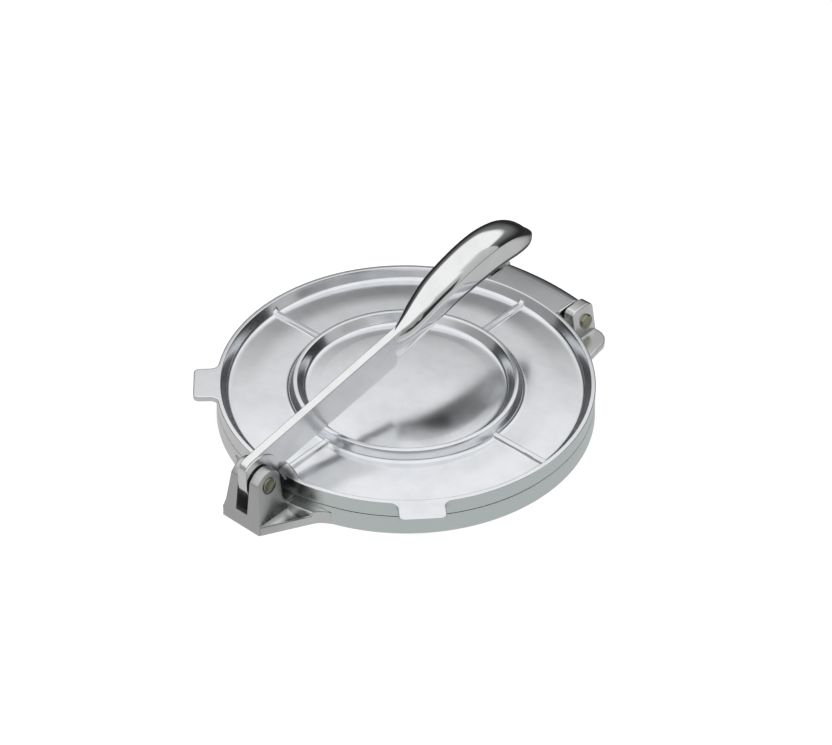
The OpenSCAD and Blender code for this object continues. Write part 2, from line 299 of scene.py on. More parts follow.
def lathe(profile: np.ndarray, axis: Axis, centre: tuple[float, float, float]) -> Shell:
    """Turns a profile of rows (radius, height) about an axis through centre.

    Args:
        profile: Rows (radius, height) with the radius above 0.
        axis: The axis's direction.
        centre: A point on the axis, where the height is 0.

    Returns:
        The closed shell.
    """
    circle = arc((0.0, 0.0), 1.0, 0.0, 360.0 * (1 - 1 / ROUND_SIDES), ROUND_SIDES)
    rings = np.empty((len(profile), ROUND_SIDES, 3))
    rings[:, :, :2] = profile[:, None, :1] * circle
    rings[:, :, 2] = profile[:, 1:]
    return loft(rings[:, :, list(axis.value)] + np.array(centre))


def strip(sheet: np.ndarray) -> Shell:
    """Closes an open grid into a shell: its rows are joined, and its two ends get a cap each.

    Args:
        sheet: Array (rows, columns, 3) whose first and last rows lie on the ground.

    Returns:
        The closed shell; the ground side is the face between the first and the last row.
    """
    rings = np.transpose(sheet, (1, 0, 2))
    return loft(rings[::-1])


def stand(name: str, data: bpy.types.ID) -> bpy.types.Object:
    """Puts a mesh, lamp or camera into the scene as an object.

    Args:
        name: The object's name.
        data: What it shows.

    Returns:
        The object.
    """
    made = bpy.data.objects.new(name, data)
    bpy.context.scene.collection.objects.link(made)
    return made


def build_object(name: str, shells: list[Shell], finishes: list[bpy.types.Material]) -> bpy.types.Object:
    """Makes one object of closed shells, in metres in the part's frame.

    Args:
        name: The piece's name.
        shells: Its surfaces, in millimetres about the plates' centre.
        finishes: Its materials, in the order of the shells' finish numbers.

    Returns:
        The object, smooth with sharp edges kept.
    """
    starts = np.cumsum([0] + [len(shell.points) for shell in shells])
    points = np.vstack([shell.points for shell in shells]) + [0.0, PLATE_Y, 0.0]
    faces = [[int(start) + i for i in face] for start, shell in zip(starts, shells) for face in shell.faces]
    numbers = np.concatenate([shell.finish for shell in shells]).astype(np.int32)
    mesh = bpy.data.meshes.new(name)
    mesh.from_pydata((points * MM).tolist(), [], faces)
    mesh.polygons.foreach_set("use_smooth", np.ones(len(faces), bool))
    mesh.polygons.foreach_set("material_index", numbers)
    mesh.set_sharp_from_angle(angle=SHARP_ANGLE)
    # The painted shade goes into the mesh as a point attribute
    if any(shell.shade is not None for shell in shells):
        shade = [np.ones(len(shell.points)) if shell.shade is None else shell.shade for shell in shells]
        mesh.attributes.new("shade", "FLOAT", "POINT").data.foreach_set("value", np.concatenate(shade))
    for finish in finishes:
        mesh.materials.append(finish)
    mesh.validate()
    mesh.update()
    return stand(name, mesh)


def carve(block: Shell, cutters: list[Shell]) -> Shell:
    """Takes cutters out of a shell with an exact boolean and reads the result back.

    Args:
        block: The shell that is cut.
        cutters: The shells that are taken out of it.

    Returns:
        What is left of the block, in its first finish.
    """
    plain = bpy.data.materials.new("carving")
    target = build_object("carving", [block], [plain])
    tools = [build_object(f"cutter_{i}", [cutter], [plain]) for i, cutter in enumerate(cutters)]
    for tool in tools:
        cut = target.modifiers.new(tool.name, "BOOLEAN")
        cut.operation, cut.solver, cut.object = "DIFFERENCE", "EXACT", tool
    graph = bpy.context.evaluated_depsgraph_get()
    mesh = bpy.data.meshes.new_from_object(target.evaluated_get(graph))
    points = np.zeros(len(mesh.vertices) * 3)
    mesh.vertices.foreach_get("co", points)
    faces = [list(face.vertices) for face in mesh.polygons]
    for made in [target, *tools]:
        bpy.data.objects.remove(made)
    bpy.data.meshes.remove(mesh)
    points = points.reshape(-1, 3) / MM - [0.0, PLATE_Y, 0.0]
    return Shell(points, faces, np.zeros(len(faces), int))


class NodeSheet:
    """A node tree, with short ways to add and join nodes."""

    def __init__(self, tree: bpy.types.NodeTree, output: str) -> None:
        """Clears a node tree and gives it an output.

        Args:
            tree: The material's or world's node tree.
            output: Kind of its output node, without the prefix.
        """
        self.tree = tree
        self.tree.nodes.clear()
        self.output = self.add(output)

    def add(self, kind: str, **settings: object) -> bpy.types.Node:
        """Adds a node.

        Args:
            kind: Its kind, without the prefix.
            **settings: Its values: one whose name is an input's sets that input, any other a property.

        Returns:
            The node.
        """
        node = self.tree.nodes.new("ShaderNode" + kind)
        for key, value in settings.items():
            label = key.replace("_", " ")
            if label in node.inputs:
                node.inputs[label].default_value = value
            else:
                setattr(node, key, value)
        return node

    def join(self, source: Socket, target: Socket) -> None:
        """Links one socket to another."""
        self.tree.links.new(source, target)

    def feed(
        self, kind: str, sources: dict[str | int, Socket], output: str | int = 0, **settings: object
    ) -> Socket:
        """Adds a node with sockets joined to its inputs.

        Args:
            kind: Its kind, without the prefix.
            sources: The socket that each input takes, by the input's name or number.
            output: Name or number of the output that is wanted.
            **settings: Its other values, as in add.

        Returns:
            The node's output.
        """
        node = self.add(kind, **settings)
        for place, source in sources.items():
            self.join(source, node.inputs[place])
        return node.outputs[output]

    def glow(self, level: float) -> Socket:
        """An emission of one neutral level."""
        return self.add("Emission", Color=(level, level, level, 1.0)).outputs["Emission"]

    def attribute(self, name: str) -> Socket:
        """A number that the mesh holds at each point."""
        return self.add("Attribute", attribute_name=name).outputs["Fac"]

    def measure(self, operation: str, place: Socket, other: Sequence[float] = (0.0, 0.0, 0.0)) -> Socket:
        """A number taken from a vector.

        Args:
            operation: DISTANCE or DOT_PRODUCT with another vector, or the vector's own LENGTH.
            place: The vector.
            other: The other vector.

        Returns:
            The number.
        """
        node = self.add("VectorMath", operation=operation)
        node.inputs[1].default_value = other
        self.join(place, node.inputs[0])
        return node.outputs["Value"]

    def ramp(self, value: Socket, low: float, high: float) -> Socket:
        """0 where a value is at low or beyond, 1 where it is at high or beyond, and smooth between."""
        span = {"From_Min": low, "From_Max": high}
        return self.feed("MapRange", {"Value": value}, interpolation_type="SMOOTHSTEP", **span)

    def blend(self, share: Socket, first: Socket, second: Sequence[float]) -> Socket:
        """A colour that moves from one socket's to a fixed one as share goes from 0 to 1."""
        return self.feed("MixRGB", {"Fac": share, "Color1": first}, blend_type="MIX", Color2=(*second, 1.0))

    def darken(self, colour: Socket, level: Socket) -> Socket:
        """A colour times a level."""
        return self.feed("MixRGB", {"Color1": colour, "Color2": level}, blend_type="MULTIPLY", Fac=1.0)

    def choose(self, share: Socket, first: Socket, second: Socket) -> Socket:
        """A shader that moves from the first to the second as share goes from 0 to 1."""
        return self.feed("MixShader", {"Fac": share, 1: first, 2: second})

    def show(self, shader: Socket) -> None:
        """Makes a shader the surface."""
        self.join(shader, self.output.inputs["Surface"])


def new_material(name: str) -> tuple[bpy.types.Material, NodeSheet]:
    """Makes an empty material and its node sheet.

    Args:
        name: Its name.

    Returns:
        The material and its sheet.
    """
    material = bpy.data.materials.new(name)
    material.use_nodes = True
    return material, NodeSheet(material.node_tree, "OutputMaterial")


@dataclass(frozen=True)
class Metal:
    """A bare metal's finish.

    Attributes:
        name: The material's name.
        colour: Its linear base colour.
        roughness: Its mean roughness.
        spread: How far cloudy patches move the roughness either way.
        wave: Depth in millimetres of the long waves that hand polishing leaves.
        grain: Depth in millimetres of the fine pitted grain of a casting.
        scratch: Depth in millimetres of fine polishing scratches.
        stretch: Scale of the scratches' pattern along X, Y and Z; below 1 they grow long that way.
        polish: Where along the part's Y a polish begins and is full, and its roughness.
        painted_reflection_colour: Painted reflection of the greenish table: the colour that the metal
            turns to across painted_reflection_span.
        painted_reflection_span: Where along the part's X that colour begins and is full, in millimetres.
        painted_shade: Painted shade about a point of the part, for crevices and dark reflections by the
        lever's bracket: the point, how far from it the shade is full and ends, all in millimetres,
        and how bright the metal is there.
        shaded: Whether the painted shade held at the shells' points darkens it.
    """

    name: str
    colour: tuple[float, float, float]
    roughness: float
    spread: float
    wave: float
    grain: float
    scratch: float
    stretch: tuple[float, float, float] = (1.0, 1.0, 1.0)
    polish: tuple[float, float, float] | None = None
    # Painted reflection of the table: a tint that grows along X
    painted_reflection_colour: tuple[float, float, float] | None = None
    painted_reflection_span: tuple[float, float] = (-30.0, 65.0)
    # Painted shade about one point near the lever's bracket
    painted_shade: tuple[tuple[float, float, float], float, float, float] | None = None
    shaded: bool = False

    def tone(self, sheet: NodeSheet, place: Socket) -> Socket:
        """Base colour: faint stain, painted reflection to the right, painted shade at a spot and points.

        Args:
            sheet: The material's nodes.
            place: The place on the piece.

        Returns:
            The colour.
        """
        noise = sheet.feed("TexNoise", {"Vector": place}, Scale=70.0, Detail=4.0, Roughness=0.6)
        plain = sheet.add("RGB").outputs["Color"]
        plain.default_value = (*self.colour, 1.0)
        colour = sheet.blend(sheet.ramp(noise, 0.35, 0.75), plain, [STAIN_LEVEL * c for c in self.colour])
        # Painted reflection: a greenish tint that grows to the right, for the table that the wall reflects
        if self.painted_reflection_colour:
            right = sheet.feed("SeparateXYZ", {"Vector": place}, "X")
            start, end = self.painted_reflection_span
            colour = sheet.blend(sheet.ramp(right, start * MM, end * MM), colour, self.painted_reflection_colour)
        # Painted shade: darker near one point, for crevices and dark reflections by the lever's bracket
        if self.painted_shade:
            centre, inner, outer, level = self.painted_shade
            gap = sheet.measure("DISTANCE", place, [c * MM for c in centre])
            near = sheet.ramp(gap, inner * MM, outer * MM)
            colour = sheet.darken(colour, sheet.feed("MapRange", {"Value": near}, To_Min=level, To_Max=1.0))
        # Painted shade held at the points: the gusset pockets and the grip's lower edges
        if self.shaded:
            colour = sheet.darken(colour, sheet.attribute("shade"))
        return colour

    def gloss(self, sheet: NodeSheet, place: Socket) -> Socket:
        """Roughness: patches about the mean, moving along Y to the polished part's value.

        Args:
            sheet: The material's nodes.
            place: The place on the piece.

        Returns:
            The roughness.
        """
        noise = sheet.feed("TexNoise", {"Vector": place}, Scale=24.0, Detail=3.0, Roughness=0.55)
        low, high = self.roughness - self.spread, self.roughness + self.spread
        rough = sheet.feed("MapRange", {"Value": noise}, From_Min=0.3, From_Max=0.7, To_Min=low, To_Max=high)
        if not self.polish:
            return rough
        start, end, smooth = self.polish
        share = sheet.ramp(sheet.feed("SeparateXYZ", {"Vector": place}, "Y"), start * MM, end * MM)
        return sheet.feed("Mix", {"Factor": share, "A": rough}, data_type="FLOAT", B=smooth)

    def relief(self, sheet: NodeSheet, place: Socket) -> Socket | None:
        """Waves, grain and scratches, each a bump on the one before.

        Args:
            sheet: The material's nodes.
            place: The place on the piece.

        Returns:
            The surface's direction, or None where the metal has no relief.
        """
        normal = None
        for kind, depth in zip(Relief, (self.wave, self.grain, self.scratch)):
            if depth <= 0:
                continue
            pattern_place = place
            if kind is Relief.SCRATCH:
                pattern_place = sheet.feed("Mapping", {"Vector": place}, Scale=self.stretch)
            noise = sheet.feed("TexNoise", {"Vector": pattern_place}, Scale=kind.value, Detail=1.0)
            sources = {"Height": noise}
            if normal is not None:
                sources["Normal"] = normal
            normal = sheet.feed("Bump", sources, Strength=1.0, Distance=depth * MM)
        return normal

    def material(self) -> bpy.types.Material:
        """Builds the finish from its tone, gloss and relief.

        Returns:
            The material.
        """
        made, sheet = new_material(self.name)
        place = sheet.add("TexCoord").outputs["Object"]
        sources = {"Base Color": self.tone(sheet, place), "Roughness": self.gloss(sheet, place)}
        normal = self.relief(sheet, place)
        if normal is not None:
            sources["Normal"] = normal
        sheet.show(sheet.feed("BsdfPrincipled", sources, Metallic=1.0))
        return made


PLATE_SATIN = Metal(
    "plate_satin", colour=(0.82, 0.835, 0.86), roughness=0.16, spread=0.03,
    wave=0.06, grain=0.001, scratch=0.0012, stretch=(1.0, 0.06, 1.0),
    # Painted shade on the pad and rim beside the lever's bracket
    painted_shade=((6.0, -99.5, 19.0), 6.0, 11.0, 0.14),
)
PLATE_WALL = Metal(
    "plate_turned_wall", colour=(0.84, 0.84, 0.83), roughness=0.27, spread=0.02,
    wave=0.03, grain=0.001, scratch=0.0008, stretch=(0.06, 0.06, 1.0),
    # Painted reflection tint to the right; painted shade near the lever's bracket
    painted_reflection_colour=(0.70, 0.77, 0.76), painted_shade=((4.0, -94.0, 12.0), 15.0, 28.0, 0.20),
)
BRACKET_CAST = Metal(
    "bracket_cast", colour=(0.76, 0.77, 0.765), roughness=0.28, spread=0.05,
    wave=0.06, grain=0.004, scratch=0.0,
    # Painted shade in the bracket's slot, and the gussets' painted pocket shade held at the points
    painted_shade=((0.0, -118.0, 18.0), 16.0, 34.0, 0.74), shaded=True,
)
LEVER_CAST = Metal(
    "lever_satin_to_polished", colour=(0.86, 0.865, 0.87), roughness=0.20, spread=0.03,
    wave=0.04, grain=0.0, scratch=0.001, stretch=(1.0, 0.08, 1.0),
    # The points' painted shade draws a dark line along the grip's lower edges
    polish=(-9.0, 4.0, 0.06), shaded=True,
)
PIN_STEEL = Metal(
    "pin_steel", colour=(0.30, 0.30, 0.22), roughness=0.30, spread=0.06,
    wave=0.05, grain=0.006, scratch=0.002,
)


@dataclass
class TopPlate:
    """The upper plate: a tray with a rim, a ring, four ribs, two tabs, a lever pad and a tongue."""

    radius: float = PLATE_R
    low_z: float = 11.4
    rim_z: float = 20.3
    tray_z: float = 14.4
    centre_z: float = 14.8
    land: float = 2.4
    rim_slope: float = 3.4
    rim_corner: float = 0.4
    ring_r: float = RING_R
    ring_slope_out: float = 2.2
    ring_slope_in: float = 3.6
    ring_corner: float = 0.6
    edge: float = 0.55
    foot_fillet: float = 2.2
    dome: float = 0.3
    dome_r: float = 78.0
    middle_dome: float = 0.21
    rib_w: float = 2.6
    rib_foot_w: float = 4.2
    rib_z: float = 16.2
    rib_corner: float = 0.45
    rib_fillet: float = 0.9
    rib_span: float = 3.6
    rib_lines: int = 43
    tab_angle: float = 46.0
    tab_w: float = 24.0
    tab_reach: float = 111.8
    tab_t: float = 3.4
    tab_corner: float = 3.0
    tab_fillet: float = 4.5
    tongue_w: float = 49.2
    tongue_r: float = 118.8
    tongue_square: float = 3.5
    tongue_t: float = 7.0
    barrel_sides: int = 144
    hinge_y: float = HINGE_Y
    hinge_z: float = HINGE_Z
    pad_front: float = -101.0
    pad_back: float = -93.6
    pad_low_z: float = 19.0
    pad_half_low: float = 8.5
    pad_half_top: float = 4.0
    pad_root_half: float = 9.5
    lever_low: float = 23.05
    lever_rise: float = 0.144

    def spread(self, start: float, end: float) -> np.ndarray:
        """Angles a degree apart, and much closer beside each rib.

        Args:
            start: First angle in degrees.
            end: Last angle in degrees.

        Returns:
            The angles in degrees, in order and without doubles.
        """
        even = np.linspace(start, end, max(2, int(end - start)))
        beside = np.linspace(-self.rib_span, self.rib_span, self.rib_lines)
        ribs = np.arange(-180.0, 361.0, 90.0)[:, None] + beside
        near = ribs[(ribs > start + 0.05) & (ribs < end - 0.05)]
        angles = np.sort(np.concatenate([even, near]))
        return angles[np.concatenate([[True], np.diff(angles) > 0.02])]

    def disc_section(self) -> np.ndarray:
        """The plate's upper side from the rim's land inwards, over the tray and the ring to the middle.

        Returns:
            Rows (radius, height), with only a few over the flat middle.
        """
        land_in = self.radius - self.land
        ring_in = self.ring_r - self.land
        inner = ring_in - self.ring_slope_in
        middle_z = self.centre_z + self.middle_dome
        rows = resample(round_corners(
            [[land_in + 1.0, self.rim_z], [land_in, self.rim_z], [land_in - self.rim_slope, self.tray_z],
             [self.dome_r, self.tray_z + self.dome], [self.ring_r + self.ring_slope_out, self.tray_z],
             [self.ring_r, self.rim_z], [ring_in, self.rim_z], [inner, self.centre_z],
             [inner - 9.0, middle_z], [0.5, middle_z]],
            [0, self.rim_corner, self.foot_fillet, 250.0, self.foot_fillet, self.ring_corner,
             self.ring_corner, self.foot_fillet, 100.0, 0],
            steps=7, closed=False,
        ), 1.5)
        flat = (rows[:, 0] < inner - 4) & (rows[:, 0] > 1)
        return rows[~flat | (rows[:, 0] % 9 <= 1.6)]

    def tab_outline(self, angle: float) -> tuple[np.ndarray, float]:
        """One tab's outline, with a concave fillet at each root, turned to its place.

        Args:
            angle: The tab's direction from the plate's centre, in degrees.

        Returns:
            The points and the angle either side of the tab where the plate's circle resumes.
        """
        half, fillet, corner = self.tab_w / 2, self.tab_fillet, self.tab_corner
        centre = (math.sqrt((self.radius + fillet) ** 2 - (half + fillet) ** 2), half + fillet)
        root = math.degrees(math.atan2(centre[1], centre[0]))
        out = self.tab_reach - corner
        side = np.vstack([
            arc(centre, fillet, 180 + root, 270, 9),
            np.column_stack([np.linspace(centre[0], out, 5)[1:-1], np.full(3, half)]),
            arc((out, half - corner), corner, 90, 0, 9),
        ])
        across = np.linspace(half - corner, corner - half, 11)[1:-1]
        end = np.column_stack([np.full(len(across), self.tab_reach), across])
        points = np.vstack([side, end, side[::-1] * [1, -1]])[::-1]
        turn = math.radians(angle)
        spin = np.array([[math.cos(turn), math.sin(turn)], [-math.sin(turn), math.cos(turn)]])
        return points @ spin, root

    def outline(self) -> np.ndarray:
        """The plate's outline at its rim: the circle, broken by the two tabs and the hinge tongue.

        Returns:
            Rows (x, y), anticlockwise.
        """
        half = self.tongue_w / 2
        root = math.degrees(math.acos(half / self.radius))
        right, tab_root = self.tab_outline(self.tab_angle - 90)
        left, _ = self.tab_outline(-90 - self.tab_angle)
        corner = math.degrees(math.atan2(self.hinge_y, half))
        end = np.radians(self.spread(corner, 180 - corner))
        root_y = math.sqrt(self.radius**2 - half**2)
        side = np.column_stack([np.full(5, half), np.linspace(root_y, self.hinge_y, 7)[1:-1]])
        tongue = np.vstack([
            side,
            np.column_stack([self.hinge_y / np.tan(end), np.full(len(end), self.hinge_y)]),
            side[::-1] * [-1, 1],
        ])
        stretches = []
        for start, stop in (
            (-90 - self.tab_angle + tab_root, self.tab_angle - 90 - tab_root),
            (self.tab_angle - 90 + tab_root, root),
            (180 - root, 270 - self.tab_angle - tab_root),
        ):
            turn = np.radians(self.spread(start, stop))
            stretches.append(self.radius * np.column_stack([np.cos(turn), np.sin(turn)]))
        points = np.vstack([stretches[0], right, stretches[1], tongue, stretches[2], left])
        keep = np.linalg.norm(points - np.roll(points, 1, 0), axis=1) > 1e-3
        return points[keep]

    def ribs(self, x: np.ndarray, y: np.ndarray) -> np.ndarray:
        """Height of the four ribs' walls over each point, and far below the tray away from them.

        Args:
            x: Each point's x.
            y: Each point's y.

        Returns:
            The heights.
        """
        away = np.minimum(np.abs(x), np.abs(y))
        section = round_corners(
            [[0.0, self.rib_z], [self.rib_w / 2, self.rib_z], [self.rib_foot_w / 2, self.tray_z],
             [self.rib_foot_w / 2 + 1.2, self.tray_z - 4.0]],
            [0.0, self.rib_corner, 0.0, 0.0], closed=False,
        )
        return np.interp(away, section[:, 0], section[:, 1])

    def disc(self) -> Shell:
        """The plate itself: rings of one outline, from the middle below, round the rim, to the middle above.

        Returns:
            The plate's shell, with its outer wall in the wall's finish.
        """
        outline = self.outline()
        reach = np.linalg.norm(outline, axis=1, keepdims=True)
        ray = outline / reach
        proud = np.clip((reach[:, 0] - self.radius - 0.05) / 0.8, 0.0, 1.0)
        tongue = (outline[:, 1] > self.radius * 0.9) & (np.abs(outline[:, 0]) < self.tongue_w / 2 + 0.1)
        low = np.where(tongue, self.rim_z - self.tongue_t, self.rim_z - self.tab_t)
        edge = np.where(outline[:, 1] > self.hinge_y - 0.2, 0.03, self.edge)
        rings = []

        def circle(radius: float, z: np.ndarray | float) -> None:
            """Adds a ring on a plain circle."""
            rings.append(np.column_stack([ray * radius, np.broadcast_to(z, len(ray))]))

        def rim(amount: np.ndarray | float, z: np.ndarray | float) -> None:
            """Adds a ring on the outline, moved in by an amount."""
            rings.append(np.column_stack([inset(outline, amount), np.broadcast_to(z, len(ray))]))

        below = round_corners([[0.5, self.low_z], [self.radius, self.low_z], [self.radius, self.tray_z]],
                              [0, 0.3, 0], closed=False)
        for radius, z in resample(below[:-1], 12.0):
            circle(radius, z)
        wall_start = len(rings)
        circle(self.radius, low - 0.15)
        rim(0.5 * proud, low)
        rim(0.0, low + 0.5)
        wall_end = len(rings)
        rim(0.0, self.rim_z - 2.2 * edge)
        for turn in np.radians(np.linspace(0, 90, 6)):
            rim(edge * (1 - np.cos(turn)), self.rim_z - edge * (1 - np.sin(turn)))
        rim(edge + 0.4, self.rim_z)
        for radius, z in self.disc_section():
            height = np.full(len(ray), z)
            if radius > self.ring_r - 1:
                height = smooth_max(height, self.ribs(*(ray * radius).T), self.rib_fillet)
            circle(radius, height)
        shell = loft(np.stack(rings))
        walls = np.zeros((len(rings) - 1, len(ray)), int)
        walls[wall_start - 1 : wall_end + 1, ~tongue] = Coat.WALL
        shell.finish[: walls.size] = walls.ravel()
        return shell

    def barrel(self) -> Shell:
        """The hinge barrel: a rounded section about the pin, carried across the tongue.

        The section is a circle, but its upper rear quarter is a superellipse, whose point at angle
        a is (b |cos a|^p, h |sin a|^p) with p = 2 / n, and b reaches to a circle about the plate.

        Returns:
            The barrel's shell.
        """
        half, height = self.tongue_w / 2, self.rim_z - self.hinge_z
        rims = edge_stations(-half, half, 0.35)
        between = np.linspace(2.0 - half, half - 2.0, 33)
        rim_rows = EDGE_STEPS + 2
        middle = np.column_stack([np.zeros(len(between)), between])
        stations = np.vstack([rims[:rim_rows], middle, rims[-rim_rows:]])
        drawn, along = stations[:, :1], stations[:, 1:]
        turn = 2 * np.pi * np.arange(self.barrel_sides) / self.barrel_sides
        cos, sin = np.cos(turn), np.sin(turn)
        square = (cos > 1e-9) & (sin > 1e-9)
        power = np.where(square, 2 / self.tongue_square, 1.0)
        rear = np.sqrt(self.tongue_r**2 - along**2) - self.hinge_y
        reach = np.where(cos > 1e-9, rear, height) - drawn
        y = reach * np.sign(cos) * np.abs(cos) ** power
        z = (height - drawn) * np.sign(sin) * np.abs(sin) ** power
        rings = np.stack([y, z, np.broadcast_to(along, y.shape)], axis=2)[:, :, list(Axis.X.value)]
        return loft(rings + np.array([0.0, self.hinge_y, self.hinge_z]))

    def pad(self) -> Shell:
        """The pad under the lever: plan rectangles that narrow upwards to a top sloped like the lever.

        Returns:
            The pad's shell.
        """
        shares = np.array([0.0, 0.3, 0.8, 0.93, 0.98, 1.0, 1.0])
        drawn = np.array([0.0, 0.0, 0.0, 0.1, 0.35, 0.8, 1.4])
        halves = [self.pad_root_half, self.pad_half_low, self.pad_half_top]
        rings = []
        for share, inward in [(-1.2, 0.0), (-0.02, 0.0), *zip(shares, drawn)]:
            lift = max(share, 0.0)
            front = self.pad_front if share >= 0 else self.pad_front + 3.0
            back = self.pad_back + 2.2 * (1 - (max(share, -1.0) + 1.0) / 2.0)
            half = np.interp(share, [-1.2, 0.0, 1.0], halves)
            plan = round_corners([[-half, front], [half, front], [half, back], [-half, back]], [1.2] * 4)
            plan = inset(plan, inward)
            top = self.lever_low + self.lever_rise * (plan[:, 1] - self.pad_back)
            z = self.pad_low_z + lift * (top - self.pad_low_z) + min(share, 0.0) * 4.0
            rings.append(np.column_stack([plan, z]))
        return loft(np.stack(rings))

    def build(self, satin: bpy.types.Material, wall: bpy.types.Material) -> bpy.types.Object:
        """Builds the dressed upper plate.

        Args:
            satin: Finish of all its faces but the outer wall.
            wall: Finish of the outer wall.

        Returns:
            The piece, which stands for the CAD node top_plate.
        """
        return build_object("top_casting", [self.disc(), self.barrel(), self.pad()], [satin, wall])


@dataclass
class BasePlate:
    """The lower plate: a ribbed disc, the lever's forked bracket with gussets, and the hinge ears."""

    radius: float = PLATE_R
    top_z: float = 10.9
    draft: float = 0.4
    edge: float = 0.3
    thickness: float = 5.0
    skirt: float = 4.6
    ring_r: float = RING_R
    ring_w: float = 2.4
    ring_z: float = 2.3
    rib_w: float = 3.2
    foot_y: float = -125.5
    foot_half: float = 13.0
    pin_half: float = 9.3
    pin_y: float = PIN_Y
    pin_z: float = PIN_Z
    fork_r: float = 8.2
    fork_rear: float = -98.0
    fork_face: tuple[float, float] = (-119.7, 30.1)
    fork_bend_y: float = -121.8
    slot_half: float = 3.9
    slot_z: float = 8.4
    neck_z: float = 9.4
    neck_fillet: float = 4.0
    fork_edge: float = 0.7
    recess_r: float = 4.9
    recess: float = 0.7
    gusset_rays: tuple[float, float] = (-84.6, -70.5)
    gusset_angle: float = 61.0
    gusset_bend: float = 14.0
    gusset_z: float = 5.0
    gusset_wall: float = 1.1
    gusset_cove: float = 7.0
    # Painted shade in the pocket: where it starts along x, how far it grows, how high it reaches, its level
    pocket_x: float = 14.6
    pocket_run: float = 3.0
    pocket_rise: float = 1.2
    pocket_level: float = 0.30
    gusset_floor: float = 1.9
    ledge_r: float = 104.2
    ledge_z: float = 7.6
    ear_y: tuple[float, float] = (100.4, 117.6)
    ear_foot: float = 0.6
    ear_top: float = 21.4
    ear_radii: tuple[float, ...] = (0.3, 0.3, 5.0, 3.0)
    ear_in: float = 26.2
    ear_out: float = 32.2
    ear_side: tuple[tuple[float, float], ...] = (
        (0.0, 35.8), (4.0, 35.8), (4.6, 34.6), (5.4, 33.8), (6.6, 33.4),
    )
    flange_plan: tuple[tuple[float, float], ...] = (
        (ear_in, 90.0), (43.0, 84.0), (50.2, 88.0), (47.4, 106.0), (47.4, 117.0), (ear_in, 117.0),
    )
    flange_radii: tuple[float, ...] = (0.0, 0.0, 0.0, 6.0, 10.5, 0.0)
    flange_z: float = 4.0

    def wall_bend(self) -> tuple[np.ndarray, np.ndarray, np.ndarray, float]:
        """The gusset's straight wall a + t d, and the circle of radius r that bends it into the plate.

        The circle touches the wall's line and the plate, so its centre lies on the line moved out
        by r, at the distance of the plate's radius plus r from the plate's centre.

        Returns:
            The point a, the direction d, the direction out of the wall, and t where the bend starts.
        """
        turn = math.radians(self.gusset_angle)
        start = np.array([self.foot_half - 0.2, self.foot_y + 0.1])
        along = np.array([math.cos(turn), math.sin(turn)])
        out = np.array([math.sin(turn), -math.cos(turn)])
        shifted = start + self.gusset_bend * out
        limit = self.radius + self.draft + self.gusset_bend
        run = -shifted @ along - math.sqrt((shifted @ along) ** 2 - shifted @ shifted + limit**2)
        return start, along, out, run

    def disc(self) -> Shell:
        """The lower plate: its profile carried round a circle, with four ribs raised on its underside.

        Returns:
            The plate's shell, with its outer wall in the wall's finish.
        """
        under = self.top_z - self.thickness
        profile = round_corners(
            [[0.5, under], [self.ring_r - self.ring_w, under], [self.ring_r - self.ring_w, self.ring_z],
             [self.ring_r, self.ring_z], [self.ring_r, under], [self.radius - self.skirt - 0.8, under],
             [self.radius - self.skirt, 0.0], [self.radius + self.draft, 0.0],
             [self.radius, self.top_z], [0.5, self.top_z]],
            [0, 1.2, 0.5, 0.5, 1.2, 1.5, 0.6, 0.6, self.edge, 0], closed=False,
        )
        profile = resample(profile, 4.0)
        even, after = np.linspace(0, 90, 91)[:-1], np.linspace(0, 4, 25)
        before = 90 - np.linspace(0.15, 4, 25)
        angles = np.unique(np.round(np.concatenate([even, after, before]), 3))
        turn = np.radians(np.concatenate([angles[angles < 90] + 90 * k for k in range(4)]))
        ray = np.column_stack([np.cos(turn), np.sin(turn)])
        rings = np.empty((len(profile), len(ray), 3))
        rings[:, :, :2] = profile[:, None, :1] * ray
        rings[:, :, 2] = profile[:, 1:]
        away = np.minimum(np.abs(rings[:, :, 0]), np.abs(rings[:, :, 1]))
        raised = np.interp(away, [0, self.rib_w / 2, self.rib_w / 2 + 0.6, self.rib_w / 2 + 1.4],
                           [self.ring_z, self.ring_z, under, under + 3])
        ribbed = (profile[:, 0] > self.ring_r - 0.5) & (profile[:, 0] < self.radius - self.skirt + 0.5)
        ribbed &= np.arange(len(profile)) < np.argmax(profile[:, 0])
        rings[ribbed, :, 2] = -smooth_max(-rings[ribbed, :, 2], -raised[ribbed], 0.6)
        shell = loft(rings)
        outer = (profile[:-1, 0] > self.radius - 0.2) & (profile[1:, 0] > self.radius - 0.2)
        shell.finish[: outer.size * len(ray)] = np.repeat(outer, len(ray)) * Coat.WALL
        return shell

    def bracket_half(self, z: np.ndarray) -> np.ndarray:
        """Half width of the bracket at a height: straight from the foot to the pin, upright above."""
        return np.interp(z, [0.0, self.pin_z], [self.foot_half, self.pin_half])

